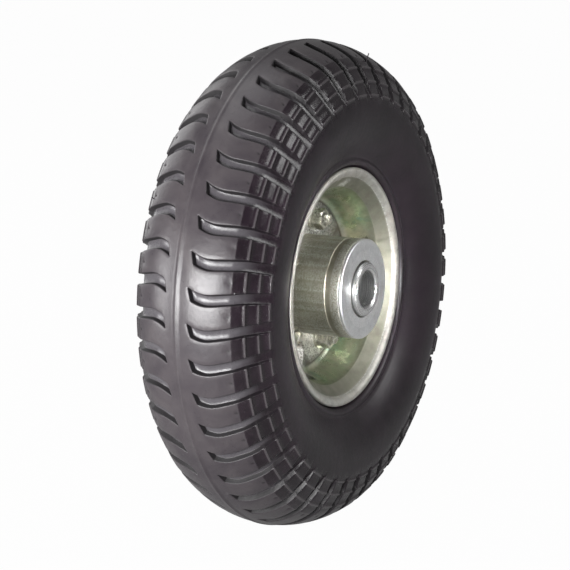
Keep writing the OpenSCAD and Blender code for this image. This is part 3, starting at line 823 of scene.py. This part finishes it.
def ringLevels(bm, levels, steps, shape=None):  # rings of [radius, y], joined and closed at both ends
    first = None
    last = None
    for radius, y in levels:
        ring = bmesh.ops.create_circle(bm, cap_ends=False, segments=steps, radius=radius * mm)["verts"]
        bmesh.ops.rotate(bm, verts=ring, cent=(0, 0, 0), matrix=Matrix.Rotation(math.radians(90), 3, "X"))
        bmesh.ops.translate(bm, verts=ring, vec=(0, y * mm, 0))
        if shape:
            for vert in ring:
                angle = math.atan2(vert.co.x, vert.co.z)
                reach = min(radius, shape(angle))
                vert.co = (reach * mm * math.sin(angle), y * mm, reach * mm * math.cos(angle))
        edges = list({edge for vert in ring for edge in vert.link_edges})
        if last:
            bmesh.ops.bridge_loops(bm, edges=last + edges)
        else:
            first = edges
        last = edges
    return first, last


def helix(bm, inner, crest, pitch, y0, y1, steps=24):  # a closed ridge that winds along the axle's direction
    turns = (y1 - y0) / pitch
    outline = [(inner, -0.42), (crest, -0.08), (crest, 0.08), (inner, 0.42)]
    points = [(0, (y0 + along * pitch) * mm, radius * mm) for radius, along in outline]
    verts, edges = chain(bm, points, closed=True)
    start = bm.faces.new(verts)
    made = bmesh.ops.spin(bm, geom=[start], cent=(0, 0, 0), axis=(0, 1, 0),
                          dvec=(0, pitch / steps * mm, 0), angle=twoPi * turns, steps=round(steps * turns),
                          use_merge=False, use_duplicate=False)
    return made


def hexLevels(bottom, top, inside, boreBottom, boreTop):  # a chamfered hexagon with a bore
    half = bolts["flats"] / 2
    corner = half / math.cos(math.pi / 6) + 0.02
    return [(inside, boreBottom), (half - 0.25, bottom), (half + 0.1, bottom + 0.18), (corner, bottom + 0.55),
            (corner, top - 0.55), (half + 0.1, top - 0.18), (half - 0.25, top), (inside, boreTop)]


def makeBolt(number):
    bm = bmesh.new()
    first, last = ringLevels(bm, [
        (bolts["crest"], -(bolts["nutStart"] + 1)),
        (bolts["crest"], bolts["sheet"] + 0.1),
    ], bolts["roundSteps"])
    bmesh.ops.edgeloop_fill(bm, edges=first)
    bmesh.ops.edgeloop_fill(bm, edges=last)
    first, last = ringLevels(bm, [
        (1.7, -bolts["end"]),
        (2.0, -bolts["end"] + 0.12),
        (bolts["core"], -bolts["end"] + 0.7),
        (bolts["core"], -bolts["nutStart"]),
    ], 32)
    bmesh.ops.edgeloop_fill(bm, edges=first)
    bmesh.ops.edgeloop_fill(bm, edges=last)
    helix(bm, bolts["core"] - 0.06, bolts["crest"], bolts["pitch"], -bolts["end"] + 0.75, -bolts["nutStart"] - 2.2)
    sheet = bolts["sheet"]
    top = sheet + bolts["headHeight"]
    half = bolts["flats"] / 2
    corner = half / math.cos(math.pi / 6) + 0.02
    first, last = ringLevels(bm, [
        (half - 0.3, sheet), (half - 0.3, sheet + 0.25), (corner, sheet + 0.25), (corner, top - 0.6),
        (half + 0.1, top - 0.2), (half - 0.25, top), (half - 1.6, top), (half - 1.9, top - 0.18)],
        bolts["roundSteps"], hexRadius)
    bmesh.ops.edgeloop_fill(bm, edges=first)
    bmesh.ops.edgeloop_fill(bm, edges=last)
    bmesh.ops.transform(bm, matrix=boltFrame(number), verts=bm.verts)
    piece = finishPiece(bm, f"bolt_threaded_{number + 1}", "bolt", smoothAngle=28)
    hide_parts(f"bolt_{number + 1}")


def makeNut(number):
    bm = bmesh.new()
    low = -(bolts["nutStart"] + bolts["nutHeight"])
    high = -bolts["nutStart"]
    levels = hexLevels(low, high, bolts["bore"] + 0.45, low, high)
    levels = [(bolts["bore"], low + 0.5)] + levels + [(bolts["bore"], high - 0.5)]
    first, last = ringLevels(bm, levels, bolts["roundSteps"], hexRadius)
    bmesh.ops.bridge_loops(bm, edges=first + last)
    turn = Matrix.Rotation(math.radians(17 * number), 4, "Y")
    bmesh.ops.transform(bm, matrix=boltFrame(number) @ turn, verts=bm.verts)
    piece = finishPiece(bm, f"nut_turned_{number + 1}", "bolt", smoothAngle=28)
    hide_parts(f"nut_{number + 1}")


for boltNumber in range(bolts["count"]):
    makeBolt(boltNumber)
    makeNut(boltNumber)
print("bolts and nuts:", bolts["count"])


# Weld round the hub, with ripples

weld = {
    "hub": 26.5,
    "sheet": 2.0,
    "leg": 2.35,
    "ripples": 74,
    "ripple": 0.11,
    "wander": 0.10,
    "steps": 444,
}


def makeWeld():
    hub = weld["hub"]
    sheet = weld["sheet"]
    leg = weld["leg"]
    outline = [(hub, sheet), (hub + leg, sheet), (hub + leg * 0.93, sheet + leg * 0.16),
               (hub + leg * 0.72, sheet + leg * 0.44), (hub + leg * 0.44, sheet + leg * 0.70),
               (hub + leg * 0.16, sheet + leg * 0.92), (hub, sheet + leg)]
    bm = bmesh.new()
    turnSection(bm, outline, weld["steps"])
    for vert in bm.verts:
        angle = math.atan2(vert.co.x, vert.co.z)
        radius = math.hypot(vert.co.x, vert.co.z) / mm - hub
        height = vert.co.y / mm - sheet
        if radius < 0.05 or height < 0.05:
            continue
        lag = 1.3 * (radius - height) / leg  # each ripple is an arc across the bead
        wave = abs(math.sin(angle * weld["ripples"] / 2 + lag * lag))
        wander = 0.5 + 0.5 * math.sin(angle * 9 + 1.4 * math.sin(angle * 4))
        cut = weld["ripple"] * (1 - wave) + weld["wander"] * wander
        vert.co.x -= cut * 0.7 * mm * math.sin(angle)
        vert.co.z -= cut * 0.7 * mm * math.cos(angle)
        vert.co.y -= cut * 0.7 * mm
    piece = finishPiece(bm, "weld_bead", "weld")
    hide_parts("hub_weld")


makeWeld()
print("weld made")


# Valve: thread on the stem, ribs on the cap

valve = {
    "angle": 192.0,
    "distance": 41.0,
    "stemRadius": 3.85,
    "threadFrom": 12.6,
    "threadTo": 21.4,
    "threadPitch": 0.9,
    "threadHeight": 0.16,
    "capFrom": 22.0,
    "capLength": 11.0,
    "capRadius": 5.2,
    "capRib": 0.45,
    "capRibs": 18,
    "capSteps": 144,
    "capBore": 3.96,
}


def valveFrame():
    turn = Matrix.Rotation(math.radians(valve["angle"]), 4, "Y")
    return turn @ Matrix.Translation((0, 0, valve["distance"] * mm))


def makeStemThread():
    bm = bmesh.new()
    helix(bm, valve["stemRadius"] - 0.1, valve["stemRadius"] + valve["threadHeight"], valve["threadPitch"],
          valve["threadFrom"], valve["threadTo"], 36)
    bmesh.ops.transform(bm, matrix=valveFrame(), verts=bm.verts)
    finishPiece(bm, "stem_thread", "brass", smoothAngle=40)


def makeCap():
    def ribs(angle):
        wave = 0.5 + 0.5 * math.cos(angle * valve["capRibs"])
        return valve["capRadius"] - valve["capRib"] * (1 - wave) ** 2

    low = valve["capFrom"]
    high = low + valve["capLength"]
    body = valve["capRadius"]
    bm = bmesh.new()
    levels = [(valve["capBore"], low + 8.8), (valve["capBore"], low + 0.3), (valve["capBore"] + 0.3, low),
              (body - 0.75, low), (body - 0.5, low + 0.25), (body - 0.48, low + 1.2), (body, low + 1.6),
              (body, high - 2.6), (body - 0.46, high - 2.0), (body - 0.7, high - 1.1), (body - 1.2, high - 0.4),
              (body - 1.9, high - 0.06), (body - 2.6, high)]
    first, last = ringLevels(bm, levels, valve["capSteps"], ribs)
    bmesh.ops.edgeloop_fill(bm, edges=first)
    bmesh.ops.edgeloop_fill(bm, edges=last)
    bmesh.ops.transform(bm, matrix=valveFrame(), verts=bm.verts)
    piece = finishPiece(bm, "cap_ribbed", "cap", smoothAngle=45)
    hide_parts("valve_cap")


makeStemThread()
makeCap()
print("valve dressed")


# Floor, light and camera

studio = {
    "floorHeight": -130.0 * mm,
    "floorReach": 30.0,
    "floorColour": paint(0.30, 0.30, 0.30),
    "floorSeen": 0.98,
    "floorMirrored": 0.15,
    "worldStrength": 0.26,
    "lamps": [
        {"name": "sideLamp", "place": (-0.72, -0.10, 0.045), "size": (0.44, 0.22), "watts": 10.6, "spread": 180,
         "aim": (0.0, 0.0, 0.0)},
        {"name": "leftLamp", "place": (-0.60, 0.58, 0.06), "size": (0.34, 0.34), "watts": 4.0, "spread": 180,
         "aim": (0.0, 0.0, 0.0)},
        {"name": "hubLamp", "place": (-0.40, -0.50, 0.02), "size": (0.10, 0.10), "watts": 0.090, "spread": 7,
         "aim": (0.002, -0.026, 0.003)},
        {"name": "faceLamp", "place": (0.45, -1.40, 0.90), "size": (0.8, 0.6), "watts": 11.0, "spread": 180,
         "aim": (0.0, 0.0, 0.0)},
        {"name": "topLamp", "place": (0.1, 0.4, 1.7), "size": (1.2, 1.2), "watts": 8.0, "spread": 180,
         "aim": (0.0, 0.0, 0.0)},
        {"name": "rearLamp", "place": (0.6, 1.6, 0.5), "size": (1.2, 1.2), "watts": 7.5, "spread": 180,
         "aim": (0.0, 0.0, 0.0)},
    ],
}


def makeFloor():
    bm = bmesh.new()
    bmesh.ops.create_grid(bm, x_segments=8, y_segments=8, size=studio["floorReach"])
    bmesh.ops.translate(bm, verts=bm.verts, vec=(0, 0, studio["floorHeight"]))
    mesh = bpy.data.meshes.new("floor")
    bm.to_mesh(mesh)
    bm.free()
    floor = bpy.data.objects.new("floor", mesh)
    bpy.context.collection.objects.link(floor)
    material = bpy.data.materials.new("floorPaint")
    material.use_nodes = True
    tree = material.node_tree
    shader = tree.nodes["Principled BSDF"]
    shader.inputs["Base Color"].default_value = studio["floorColour"]
    shader.inputs["Roughness"].default_value = 0.9
    glow = addNode(tree, "ShaderNodeEmission")
    glow.inputs["Color"].default_value = paint(1, 1, 1)
    path = addNode(tree, "ShaderNodeLightPath")
    seen = calc(tree, "MAXIMUM", path.outputs["Is Camera Ray"], path.outputs["Is Transmission Ray"])
    seen = calc(tree, "MULTIPLY", seen, studio["floorSeen"])
    mirrored = calc(tree, "MULTIPLY", path.outputs["Is Glossy Ray"], studio["floorMirrored"])
    mix = addNode(tree, "ShaderNodeMixShader")
    feed(tree, mix.inputs[0], calc(tree, "MAXIMUM", seen, mirrored))
    feed(tree, mix.inputs[1], shader.outputs[0])
    feed(tree, mix.inputs[2], glow.outputs[0])
    feed(tree, tree.nodes["Material Output"].inputs["Surface"], mix.outputs[0])
    mesh.materials.append(material)


def makeWorld():
    world = bpy.data.worlds.new("studioAir")
    bpy.context.scene.world = world
    world.use_nodes = True
    tree = world.node_tree
    tree.nodes.clear()
    soft = addNode(tree, "ShaderNodeBackground")
    soft.inputs["Strength"].default_value = studio["worldStrength"]
    white = addNode(tree, "ShaderNodeBackground")
    white.inputs["Color"].default_value = paint(1, 1, 1)
    soft.inputs["Color"].default_value = paint(1, 1, 1)
    path = addNode(tree, "ShaderNodeLightPath")
    seen = calc(tree, "MAXIMUM", path.outputs["Is Camera Ray"], path.outputs["Is Transmission Ray"])
    mix = addNode(tree, "ShaderNodeMixShader")
    feed(tree, mix.inputs[0], seen)
    feed(tree, mix.inputs[1], soft.outputs[0])
    feed(tree, mix.inputs[2], white.outputs[0])
    out = addNode(tree, "ShaderNodeOutputWorld")
    feed(tree, out.inputs["Surface"], mix.outputs[0])


def makeLamps():
    for lamp in studio["lamps"]:
        data = bpy.data.lights.new(lamp["name"], "AREA")
        data.shape = "RECTANGLE"
        data.size, data.size_y = lamp["size"]
        data.energy = lamp["watts"]
        data.spread = math.radians(lamp["spread"])
        piece = bpy.data.objects.new(lamp["name"], data)
        bpy.context.collection.objects.link(piece)
        piece.location = lamp["place"]
        toward = Vector(lamp["aim"]) - piece.location
        piece.rotation_euler = toward.to_track_quat("-Z", "Y").to_euler()


view = {
    "azimuth": -61.8054,
    "elevation": 10.652,
    "distance": 1.09884,
    "focalPixels": 2053.77,
    "framePixels": 570.0,
    "centre": (302.715, 282.932),
    "sensor": 36.0,
}


def makeCamera():
    data = bpy.data.cameras.new("photoCamera")
    camera = bpy.data.objects.new("photoCamera", data)
    bpy.context.collection.objects.link(camera)
    bpy.context.scene.camera = camera
    azimuth = math.radians(view["azimuth"])
    elevation = math.radians(view["elevation"])
    back = Vector((math.sin(azimuth) * math.cos(elevation), -math.cos(azimuth) * math.cos(elevation),
                   math.sin(elevation)))
    right = Vector((math.cos(azimuth), math.sin(azimuth), 0))
    up = back.cross(right)
    turn = Matrix((right, up, back)).transposed().to_4x4()
    camera.matrix_world = Matrix.Translation(back * view["distance"]) @ turn
    frameSize = view["framePixels"]
    data.sensor_width = view["sensor"]
    data.lens = view["focalPixels"] / frameSize * view["sensor"]
    data.shift_x = (frameSize / 2 - view["centre"][0]) / frameSize
    data.shift_y = (view["centre"][1] - frameSize / 2) / frameSize
    data.clip_end = 100.0


makeFloor()
makeWorld()
makeLamps()
makeCamera()
bpy.context.scene.view_settings.view_transform = "Standard"
print("studio set")
